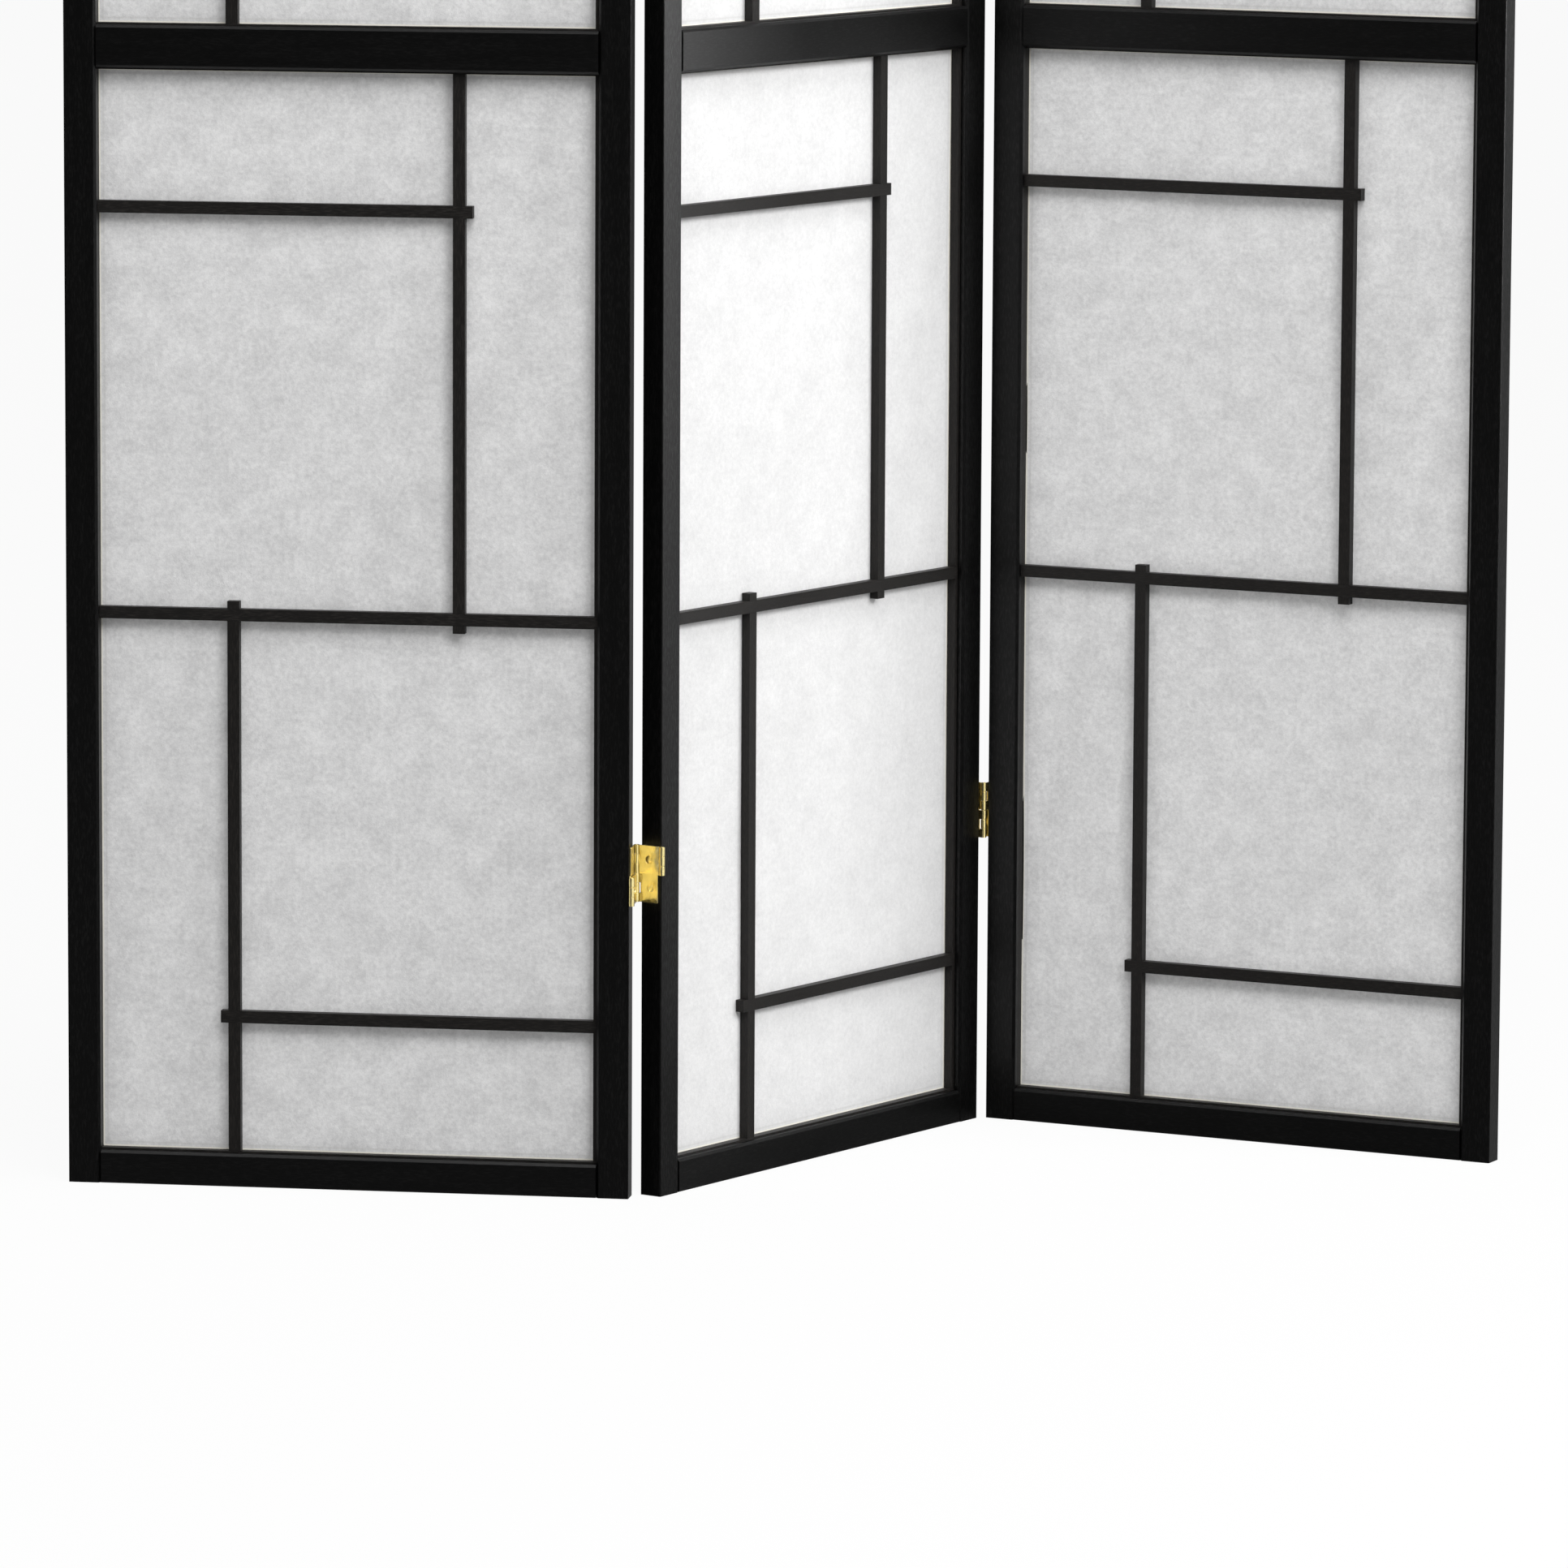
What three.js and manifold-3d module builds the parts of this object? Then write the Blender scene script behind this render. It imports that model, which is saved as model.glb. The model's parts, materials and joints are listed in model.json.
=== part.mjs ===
// Folding room divider screen: three framed paper panels in a zigzag, hung edge to edge on
// two-way hinges. Millimetres, +Z up, the front towards -Y, standing on z = 0.
//
// A panel's own frame has x across its width from its left edge, y through its thickness
// with the front face at -panelThickness / 2, and z up from its foot.
import * as THREE from "three";
import { mergeVertices } from "three/addons/utils/BufferGeometryUtils.js";
import Module from "manifold-3d";

const wasm = await Module();
wasm.setup();

// ---- Driving dimensions ----

// Panels and how far they are folded
const panelHeight = 1784;
const panelWidth = 445;
const panelThickness = 19;
const middleTurn = 55; // degrees that the middle panel is turned about Z from facing -Y
const leftFold = 63.5; // degrees from flat at the left joint, whose back faces close
const rightFold = 82; // degrees from flat at the right joint, whose front faces close

// Frame members
const stileWidth = 25.4;
const endRailHeight = 26; // the top and bottom rails
const middleRailHeight = 33;
const outerArris = 1; // radius on a member's plain edges
const innerChamfer = 2; // front edge round each opening
const backChamfer = 0.8; // back edge round each opening
const frontLip = 5.7; // wood in front of the groove that holds lattice and paper
const grooveDepth = 8.4;
const seatGap = 0.3; // left wherever one piece is seated in or on another

// Lattice
const stripWidth = 9.5;
const stripDepth = 7.4;
const rimWidth = 7.5; // the four strips that stand in the frame's groove
const rimShow = 1.5; // how much of the rim shows inside the frame
const latticeShift = 1.8; // the lattice sits this far towards the left stile
const cellInset = 108; // from the opening's edge to the nearest strip's centre line
const tabLength = 6; // a strip's end past the strip that it crosses

// Paper
const paperThickness = 0.5;
const paperTuck = 5; // paper hidden in the groove, along each edge

// Two-way hinges
const hingeHeight = 45;
const hingeInset = 254; // from a panel's top or bottom to the hinge's middle
const hingeGap = 5.2; // between two panels laid flat
const pinStandOff = 2.6; // a pin's axis, proud of the panel's face
const sheetThickness = 1.1;
const runGap = 0.4; // between hinge pieces that turn past each other
const leafSetback = 2.4; // a leaf's plain edge, inside the panel's face
const knucklesPerHalf = 3;
const curlTurn = 290; // degrees that a leaf's knuckle is rolled through
const screwHoleRadius = 1.9;
const screwHeadRadius = 3;
const accessHoleRadius = 3.4; // in a link, over the leaf's screw
const pilotRadius = 1.2;
const pilotDepth = 14;

// How finely round shapes are divided
const arrisSteps = 3; // in a quarter turn
const roundSteps = 12; // in a full turn

// ---- Sizes that follow ----

const frontFace = -panelThickness / 2;
const backFace = panelThickness / 2;
const openingWidth = panelWidth - 2 * stileWidth;
const openingHeight = (panelHeight - 2 * endRailHeight - middleRailHeight) / 2;
const grooveFront = frontFace + frontLip;
const latticeFront = grooveFront + seatGap;
const paperFront = latticeFront + stripDepth + seatGap;
const grooveBack = paperFront + paperThickness + seatGap;
const openingMiddle = panelWidth / 2 - latticeShift;

const halfGap = hingeGap / 2; // a joint's middle plane, from either panel's edge
const axisDepth = panelThickness / 2 + pinStandOff; // the pin axes, from the panel's middle plane
const knuckleRadius = halfGap - seatGap; // rolled level with the leaf's seat on the wood
const boreRadius = knuckleRadius - sheetThickness;
const pinRadius = boreRadius - seatGap;
const halfHeight = (hingeHeight - runGap) / 2; // one of the two working halves of a hinge
const halfMiddle = (runGap + halfHeight) / 2; // the middle of a half, from the hinge's middle
const hingeLevels = { bottom: hingeInset, top: panelHeight - hingeInset };
const knuckleLength = (halfHeight - (knucklesPerHalf - 1) * runGap) / knucklesPerHalf;
const knucklePitch = knuckleLength + runGap;
const knuckleClear = axisDepth - knuckleRadius - runGap; // plates stop here, short of a knuckle

// ---- Solids ----

// The closed solid that a geometry's faces bound.
function solidOf(geometry) {
  const bare = geometry.clone();
  bare.deleteAttribute("normal");
  bare.deleteAttribute("uv");
  const merged = mergeVertices(bare, 1e-4);
  return new wasm.Manifold(
    new wasm.Mesh({
      numProp: 3,
      vertProperties: merged.attributes.position.array,
      triVerts: new Uint32Array(merged.index.array),
    }),
  );
}

// A geometry with the faces of a closed solid.
function geometryOf(solid) {
  const mesh = solid.getMesh();
  const geometry = new THREE.BufferGeometry();
  geometry.setAttribute("position", new THREE.BufferAttribute(mesh.vertProperties, 3));
  geometry.setIndex(new THREE.BufferAttribute(mesh.triVerts, 1));
  const flat = geometry.toNonIndexed();
  flat.computeVertexNormals();
  return flat;
}

function joined(geometries) {
  return geometries.map(solidOf).reduce((whole, piece) => whole.add(piece));
}

function cut(solid, geometries) {
  return geometries.map(solidOf).reduce((rest, tool) => rest.subtract(tool), solid);
}

// A box between two corners, given as the low and high value along each axis.
function block([x0, x1], [y0, y1], [z0, z1]) {
  const box = new THREE.BoxGeometry(x1 - x0, y1 - y0, z1 - z0);
  return box.translate((x0 + x1) / 2, (y0 + y1) / 2, (z0 + z1) / 2);
}

function extruded(shape, length) {
  const settings = { depth: length, bevelEnabled: false, curveSegments: roundSteps / 2 };
  return new THREE.ExtrudeGeometry(shape, settings);
}

// ---- Frame members ----

// Across a member, u runs over its width and v over the panel's thickness. The grooved side
// at u = width, from front to back: chamfer, front lip, groove, back lip, chamfer.
function groovedSide(width) {
  const floor = width - grooveDepth;
  return [
    new THREE.Vector2(width - innerChamfer, frontFace),
    new THREE.Vector2(width, frontFace + innerChamfer),
    new THREE.Vector2(width, grooveFront),
    new THREE.Vector2(floor, grooveFront),
    new THREE.Vector2(floor, grooveBack),
    new THREE.Vector2(width, grooveBack),
    new THREE.Vector2(width, backFace - backChamfer),
    new THREE.Vector2(width - backChamfer, backFace),
  ];
}

// The plain outer side at u = 0, from back to front, with both arrises rounded.
function plainSide() {
  const points = [];
  for (const [v, start] of [[backFace - outerArris, 90], [frontFace + outerArris, 180]]) {
    for (let step = 0; step <= arrisSteps; step++) {
      const angle = THREE.MathUtils.degToRad(start + (90 * step) / arrisSteps);
      const u = outerArris + outerArris * Math.cos(angle);
      points.push(new THREE.Vector2(u, v + outerArris * Math.sin(angle)));
    }
  }
  return points;
}

function edgeSection(width) {
  return new THREE.Shape([...groovedSide(width), ...plainSide()]);
}

// A member grooved along both sides: the second side is the first one mirrored.
function doubleSection(width) {
  const mirrored = groovedSide(width).map((p) => new THREE.Vector2(width - p.x, p.y));
  return new THREE.Shape([...groovedSide(width), ...mirrored.reverse()]);
}

// A length of a section, with u turned to lie along the given direction, v kept through
// the panel, and the length running the way that leaves the solid right-handed.
function member(section, across, origin, length) {
  const through = new THREE.Vector3(0, 1, 0);
  const along = new THREE.Vector3().crossVectors(across, through);
  const turn = new THREE.Matrix4().makeBasis(across, through, along);
  return extruded(section, length).applyMatrix4(turn).translate(...origin);
}

// The heights at which the screws go into an edge: one in the middle of each hinge half.
function screwHeights() {
  const levels = Object.values(hingeLevels);
  return levels.flatMap((middle) => [middle - halfMiddle, middle + halfMiddle]);
}

// A hole along x, as deep as the pilot on either side of a panel's edge.
function pilotHole(edge, height) {
  const hole = new THREE.CylinderGeometry(pilotRadius, pilotRadius, 2 * pilotDepth, roundSteps);
  return hole.rotateZ(Math.PI / 2).translate(edge, 0, height);
}

function stile(side, hinged) {
  const left = side === "left";
  const across = new THREE.Vector3(left ? 1 : -1, 0, 0);
  const origin = left ? [0, 0, 0] : [panelWidth, 0, panelHeight];
  const blank = solidOf(member(edgeSection(stileWidth), across, origin, panelHeight));
  if (!hinged) return blank;
  return cut(blank, screwHeights().map((height) => pilotHole(origin[0], height)));
}

// A rail between the stiles, with a stub tenon at each end that fills the stile's groove.
function rail(section, across, foot, webLow, webHigh) {
  const from = stileWidth + seatGap;
  const to = panelWidth - stileWidth - seatGap;
  const startX = across.z > 0 ? to : from;
  const body = member(section, across, [startX, 0, foot], to - from);
  const reach = grooveDepth - seatGap;
  const tenon = block(
    [stileWidth - reach, panelWidth - stileWidth + reach],
    [grooveFront + seatGap, grooveBack - seatGap],
    [webLow, webHigh],
  );
  return joined([body, tenon]);
}

const up = new THREE.Vector3(0, 0, 1);
const down = new THREE.Vector3(0, 0, -1);

function bottomRail() {
  return rail(edgeSection(endRailHeight), up, 0, outerArris, endRailHeight - grooveDepth);
}

function topRail() {
  const webLow = panelHeight - endRailHeight + grooveDepth;
  return rail(edgeSection(endRailHeight), down, panelHeight, webLow, panelHeight - outerArris);
}

function middleRail() {
  const foot = endRailHeight + openingHeight;
  const webHigh = foot + middleRailHeight - grooveDepth;
  return rail(doubleSection(middleRailHeight), up, foot, foot + grooveDepth, webHigh);
}

// ---- Lattice ----

// One opening's lattice, glued up before the frame closes on it: a rim in the groove, two
// uprights and three bars. An upright or bar starts at the rim and ends in a tab just past
// the last strip that it crosses, except the middle bar, which runs from rim to rim.
function lattice(foot) {
  const halfWide = openingWidth / 2;
  const halfHigh = openingHeight / 2;
  const rise = foot + halfHigh;
  const outWide = halfWide + rimWidth - rimShow;
  const outHigh = halfHigh + rimWidth - rimShow;
  const inWide = outWide - rimWidth;
  const inHigh = outHigh - rimWidth;
  const columnAt = halfWide - cellInset;
  const barAt = halfHigh - cellInset;
  const past = stripWidth / 2 + tabLength;
  const depth = [latticeFront, latticeFront + stripDepth];

  const upright = (x, [low, high]) =>
    block([x - stripWidth / 2, x + stripWidth / 2], depth, [low, high]);
  const bar = (z, [low, high]) =>
    block([low, high], depth, [z - stripWidth / 2, z + stripWidth / 2]);
  const pieces = [
    block([-outWide, -inWide], depth, [-outHigh, outHigh]),
    block([inWide, outWide], depth, [-outHigh, outHigh]),
    block([-outWide, outWide], depth, [-outHigh, -inHigh]),
    block([-outWide, outWide], depth, [inHigh, outHigh]),
    upright(-columnAt, [-outHigh, past]),
    upright(columnAt, [-past, outHigh]),
    bar(barAt, [-outWide, columnAt + past]),
    bar(0, [-outWide, outWide]),
    bar(-barAt, [-columnAt - past, outWide]),
  ];
  return joined(pieces).translate([openingMiddle, 0, rise]);
}

// The paper behind a lattice, tucked into the groove all round.
function paper(foot) {
  const halfWide = openingWidth / 2 + paperTuck;
  return solidOf(
    block(
      [openingMiddle - halfWide, openingMiddle + halfWide],
      [paperFront, paperFront + paperThickness],
      [foot - paperTuck, foot + openingHeight + paperTuck],
    ),
  );
}

// ---- Two-way hinges ----
//
// A hinge stands in the gap between two panels and folds either way. Each panel's edge
// carries a leaf. In the upper half, a link joins the right leaf's front knuckles to the
// left leaf's back knuckles, and in the lower half the second link crosses the other way.
// Folding the backs together turns everything on the back axis, folding the fronts
// together turns everything on the front axis.
//
// These functions draw a hinge in its own frame: x = 0 is the joint's middle plane, y is
// as in the panels, and z = 0 is the hinge's middle, where the halves meet.

// The low end of the knuckle at this place in a half, counted from the hinge's middle.
function knuckleStart(place) {
  return runGap / 2 + place * knucklePitch;
}

// A leaf takes the first, third and later odd places; the link has those between them.
function places(first) {
  const taken = [];
  for (let place = first; place < knucklesPerHalf; place += 2) taken.push(place);
  return taken;
}

// The section of a leaf's rolled knuckle about the origin: a strip of sheet that comes along
// +y at the seat side, and is curled round the pin until it almost meets itself.
function curlSection(strip) {
  const end = -THREE.MathUtils.degToRad(curlTurn);
  const shape = new THREE.Shape();
  shape.moveTo(knuckleRadius, strip);
  shape.lineTo(knuckleRadius, 0);
  shape.absarc(0, 0, knuckleRadius, 0, end, true);
  shape.absarc(0, 0, boreRadius, end, 0, false);
  shape.lineTo(boreRadius, strip);
  return shape;
}

// A leaf's knuckles and plate in one half: at the front, on the leaf of the panel to the right.
function leafHalf() {
  const pieces = places(0).map((place) =>
    extruded(curlSection(axisDepth - knuckleClear), knuckleLength).translate(
      0,
      -axisDepth,
      knuckleStart(place),
    ),
  );
  pieces.push(
    block(
      [boreRadius, knuckleRadius],
      [-knuckleClear, panelThickness / 2 - leafSetback],
      [0, runGap / 2 + halfHeight],
    ),
  );
  return joined(pieces);
}

// A countersunk hole along x, with its head towards the joint's middle plane.
function screwHole() {
  const deep = sheetThickness * 2;
  const sink = new THREE.LatheGeometry(
    [
      new THREE.Vector2(0, -deep),
      new THREE.Vector2(screwHeadRadius, -deep),
      new THREE.Vector2(screwHeadRadius, 0),
      new THREE.Vector2(screwHoleRadius, screwHeadRadius - screwHoleRadius),
      new THREE.Vector2(screwHoleRadius, deep),
      new THREE.Vector2(0, deep),
    ],
    roundSteps,
  );
  return sink.rotateZ(-Math.PI / 2).translate(boreRadius, 0, halfMiddle);
}

// The right panel's leaf: front knuckles above, and the same half turned over below. The
// left panel's leaf is this one turned half round about z.
function leaf() {
  const upper = leafHalf().subtract(solidOf(screwHole()));
  return upper.add(upper.mirror([0, 1, 0]).mirror([0, 0, 1]));
}

// A link: a plate in the joint's middle plane, with a knuckle round the front axis and one
// round the back axis, and a hole that lets a screwdriver through to the leaf's screw.
function link() {
  const low = runGap / 2;
  const plate = block(
    [-sheetThickness / 2, sheetThickness / 2],
    [-knuckleClear, knuckleClear],
    [low, low + halfHeight],
  );
  const pieces = [plate];
  const bores = [];
  for (const place of places(1)) {
    const start = knuckleStart(place);
    const tongue = [-sheetThickness / 2, sheetThickness / 2];
    pieces.push(block(tongue, [-axisDepth, axisDepth], [start, start + knuckleLength]));
    for (const y of [-axisDepth, axisDepth]) {
      pieces.push(roundBar(knuckleRadius, knuckleLength).translate(0, y, start));
      bores.push(roundBar(boreRadius, 3 * knuckleLength).translate(0, y, start - knuckleLength));
    }
  }
  const access = roundBar(accessHoleRadius, 4 * sheetThickness)
    .rotateY(Math.PI / 2)
    .translate(-2 * sheetThickness, 0, halfMiddle);
  return cut(joined(pieces), [...bores, access]);
}

// A cylinder standing on z = 0.
function roundBar(radius, length) {
  const bar = new THREE.CylinderGeometry(radius, radius, length, roundSteps);
  return bar.rotateX(Math.PI / 2).translate(0, 0, length / 2);
}

// A pin as long as one half, with softened ends.
function pin() {
  const soft = pinRadius / 3;
  const outline = [
    new THREE.Vector2(0, 0),
    new THREE.Vector2(pinRadius - soft, 0),
    new THREE.Vector2(pinRadius, soft),
    new THREE.Vector2(pinRadius, halfHeight - soft),
    new THREE.Vector2(pinRadius - soft, halfHeight),
    new THREE.Vector2(0, halfHeight),
  ];
  const turned = new THREE.LatheGeometry(outline, roundSteps).rotateX(Math.PI / 2);
  return solidOf(turned.translate(0, 0, runGap / 2));
}

// ---- Assembly ----

const finishes = {
  wood: { color: 0x16130f, roughness: 0.42, metalness: 0 },
  lattice: { color: 0x211d18, roughness: 0.5, metalness: 0 },
  paper: { color: 0xe6e5e0, roughness: 0.95, metalness: 0 },
  brass: { color: 0xd9ac3c, roughness: 0.28, metalness: 1 },
};

function piece(name, finish, solid) {
  const mesh = new THREE.Mesh(geometryOf(solid), new THREE.MeshStandardMaterial(finishes[finish]));
  mesh.name = name;
  return mesh;
}

function framedPanel(name, hingedEdges) {
  const group = new THREE.Group();
  group.name = name;
  for (const side of ["left", "right"]) {
    const made = stile(side, hingedEdges.includes(side));
    group.add(piece(`${name}_${side}_stile`, "wood", made));
  }
  group.add(piece(`${name}_bottom_rail`, "wood", bottomRail()));
  group.add(piece(`${name}_middle_rail`, "wood", middleRail()));
  group.add(piece(`${name}_top_rail`, "wood", topRail()));
  const feet = { lower: endRailHeight, upper: endRailHeight + openingHeight + middleRailHeight };
  for (const [section, foot] of Object.entries(feet)) {
    group.add(piece(`${name}_${section}_lattice`, "lattice", lattice(foot)));
    group.add(piece(`${name}_${section}_paper`, "paper", paper(foot)));
  }
  return group;
}

// Puts one joint's two hinges on its panels. Each link and its pins go with the panel that
// it stays with at this fold: closing the backs keeps the upper link with the right panel
// and the lower one with the left, and closing the fronts swaps them.
function hangHinges(joint, leftPanel, rightPanel, closesBacks) {
  const upperHome = closesBacks ? rightPanel : leftPanel;
  const lowerHome = closesBacks ? leftPanel : rightPanel;
  const halves = [
    { half: "upper", home: upperHome, flip: false },
    { half: "lower", home: lowerHome, flip: true },
  ];
  for (const [level, middle] of Object.entries(hingeLevels)) {
    const label = `${joint}_${level}_hinge`;
    const seat = (panel, mesh) => {
      mesh.position.set(panel === leftPanel ? panelWidth + halfGap : -halfGap, 0, middle);
      panel.add(mesh);
    };
    const leftLeaf = piece(`${label}_leaf_on_${leftPanel.name}`, "brass", leaf());
    leftLeaf.rotation.z = Math.PI;
    seat(leftPanel, leftLeaf);
    seat(rightPanel, piece(`${label}_leaf_on_${rightPanel.name}`, "brass", leaf()));
    for (const { half, home, flip } of halves) {
      const turned = (mesh) => {
        if (flip) mesh.rotation.x = Math.PI;
        return mesh;
      };
      seat(home, turned(piece(`${label}_${half}_link`, "brass", link())));
      for (const [place, y] of Object.entries({ front: -axisDepth, back: axisDepth })) {
        const mesh = turned(piece(`${label}_${half}_${place}_pin`, "brass", pin()));
        seat(home, mesh);
        mesh.position.y = y;
      }
    }
  }
}

// Turns a panel's group so that a point of the panel lies on a point of its parent.
function hang(group, degrees, own, [x, y]) {
  const turn = THREE.MathUtils.degToRad(degrees);
  const moved = new THREE.Vector3(own[0], own[1], 0).applyAxisAngle(up, turn);
  group.rotation.z = turn;
  group.position.set(x - moved.x, y - moved.y, 0);
}

const leftPanel = framedPanel("left_panel", ["right"]);
const middlePanel = framedPanel("middle_panel", ["left", "right"]);
const rightPanel = framedPanel("right_panel", ["left"]);
hangHinges("left", leftPanel, middlePanel, true);
hangHinges("right", middlePanel, rightPanel, false);

// The left panel turns on the back axis and the right panel on the front axis, each at the
// middle of its gap, and both are drawn in the middle panel's frame.
const screen = new THREE.Group();
hang(leftPanel, -leftFold, [panelWidth + halfGap, axisDepth], [-halfGap, axisDepth]);
hang(rightPanel, -rightFold, [-halfGap, -axisDepth], [panelWidth + halfGap, -axisDepth]);
screen.add(leftPanel, middlePanel, rightPanel);
screen.rotation.z = THREE.MathUtils.degToRad(middleTurn);

// The origin is under the middle of the standing screen.
const part = new THREE.Group();
part.add(screen);
const middle = new THREE.Box3().setFromObject(part, true).getCenter(new THREE.Vector3());
screen.position.set(-middle.x, -middle.y, 0);

export default part;
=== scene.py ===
# %% [markdown]
# # Folding room divider screen
# Three framed paper panels stand in a zigzag on two-way brass hinges. The frame and the lattices
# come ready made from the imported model, and this lesson gives them their finishes. The paper
# sheets, the hinges and their screws are made here: paper is soft, small brass needs finer curves
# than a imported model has, and screws are small. Everything is in metres, the front is towards -Y,
# and up is +Z.

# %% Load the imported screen
import json
import math
from functools import reduce

import bmesh
import bpy
import numpy as np
from mathutils import Matrix, Vector

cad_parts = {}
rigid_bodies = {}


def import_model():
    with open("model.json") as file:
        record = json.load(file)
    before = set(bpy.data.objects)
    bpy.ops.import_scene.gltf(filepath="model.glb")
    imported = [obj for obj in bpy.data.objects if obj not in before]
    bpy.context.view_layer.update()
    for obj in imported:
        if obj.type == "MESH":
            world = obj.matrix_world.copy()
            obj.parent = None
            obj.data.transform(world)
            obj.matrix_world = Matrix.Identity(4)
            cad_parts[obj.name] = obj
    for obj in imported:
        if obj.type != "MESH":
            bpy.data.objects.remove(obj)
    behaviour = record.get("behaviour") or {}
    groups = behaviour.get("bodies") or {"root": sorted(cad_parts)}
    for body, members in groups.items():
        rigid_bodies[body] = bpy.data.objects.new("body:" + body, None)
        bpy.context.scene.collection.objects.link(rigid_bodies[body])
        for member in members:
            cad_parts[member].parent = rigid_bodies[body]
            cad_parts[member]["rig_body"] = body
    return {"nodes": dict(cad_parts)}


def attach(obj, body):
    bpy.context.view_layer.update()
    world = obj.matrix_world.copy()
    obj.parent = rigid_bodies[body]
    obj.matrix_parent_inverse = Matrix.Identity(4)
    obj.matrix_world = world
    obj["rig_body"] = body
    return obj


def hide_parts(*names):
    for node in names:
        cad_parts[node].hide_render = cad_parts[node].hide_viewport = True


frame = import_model()
nodes = frame["nodes"]
scene = bpy.context.scene
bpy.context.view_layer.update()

# %% [markdown]
# A long lens far away keeps tall, straight things from leaning. The camera stands in front of the
# screen, half a metre above its middle rails, and looks down about eight degrees. Three plain
# matrices are easier to read than Euler angles: the last one levels the picture, the middle one
# tips the camera up from looking straight down, and the first swings it a little to the right.

# %% Set the camera
EYE = Vector((-0.0317, -7.7102, 1.3819))
LOOK_RIGHT = 0.195  # degrees
LOOK_DOWN = 7.990  # degrees
LEVEL_OFF = 0.291  # degrees, about the camera's own line of sight
LENS_MM = 224.87
SENSOR_MM = 36.0
CLIP_NEAR, CLIP_FAR = 0.1, 200.0  # metres

camera = bpy.data.objects.new("camera", bpy.data.cameras.new("camera"))
scene.collection.objects.link(camera)
camera.data.lens = LENS_MM
camera.data.sensor_width = SENSOR_MM
camera.data.clip_start, camera.data.clip_end = CLIP_NEAR, CLIP_FAR
turned = Matrix.Rotation(math.radians(-LOOK_RIGHT), 4, "Z")
tipped = Matrix.Rotation(math.radians(90 - LOOK_DOWN), 4, "X")
levelled = Matrix.Rotation(math.radians(LEVEL_OFF), 4, "Z")
camera.matrix_world = Matrix.Translation(EYE) @ turned @ tipped @ levelled
scene.camera = camera
print("The camera stands", round(-EYE.y, 2), "m in front, with a", LENS_MM, "mm lens")

# %% [markdown]
# A finish is a small net of shader nodes. Drawing one by hand hides its sums, so this class writes
# them as Python: a Wire is the output of a node, and adding or multiplying wires adds Math nodes.
# A Recipe makes any other node from its type, its settings and what goes into its sockets.


# %% Write shader sums as Python
class Wire:
    """The output of a shader node. A sum or product of wires, or of a wire and a number, is the
    output of a new Math node."""

    def __init__(self, recipe, socket):
        self.recipe, self.socket = recipe, socket

    def sum_with(self, operation, first, second=None, clamp=False):
        """The output of one Math node that works on one or two wires or numbers."""
        values = {0: first} if second is None else {0: first, 1: second}
        settings = {"operation": operation, "use_clamp": clamp}
        return self.recipe.node("ShaderNodeMath", settings, values)

    def __add__(self, other):
        return self.sum_with("ADD", self, other)

    __radd__ = __add__

    def __sub__(self, other):
        return self.sum_with("SUBTRACT", self, other)

    def __rsub__(self, other):
        return self.sum_with("SUBTRACT", other, self)

    def __mul__(self, other):
        return self.sum_with("MULTIPLY", self, other)

    __rmul__ = __mul__

    def __abs__(self):
        return self.sum_with("ABSOLUTE", self)

    def below(self, other):
        return self.sum_with("LESS_THAN", self, other)

    def larger(self, other):
        return self.sum_with("MAXIMUM", self, other)

    def smaller(self, other):
        return self.sum_with("MINIMUM", self, other)

    def clamped(self):
        return self.sum_with("ADD", self, 0.0, clamp=True)


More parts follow.
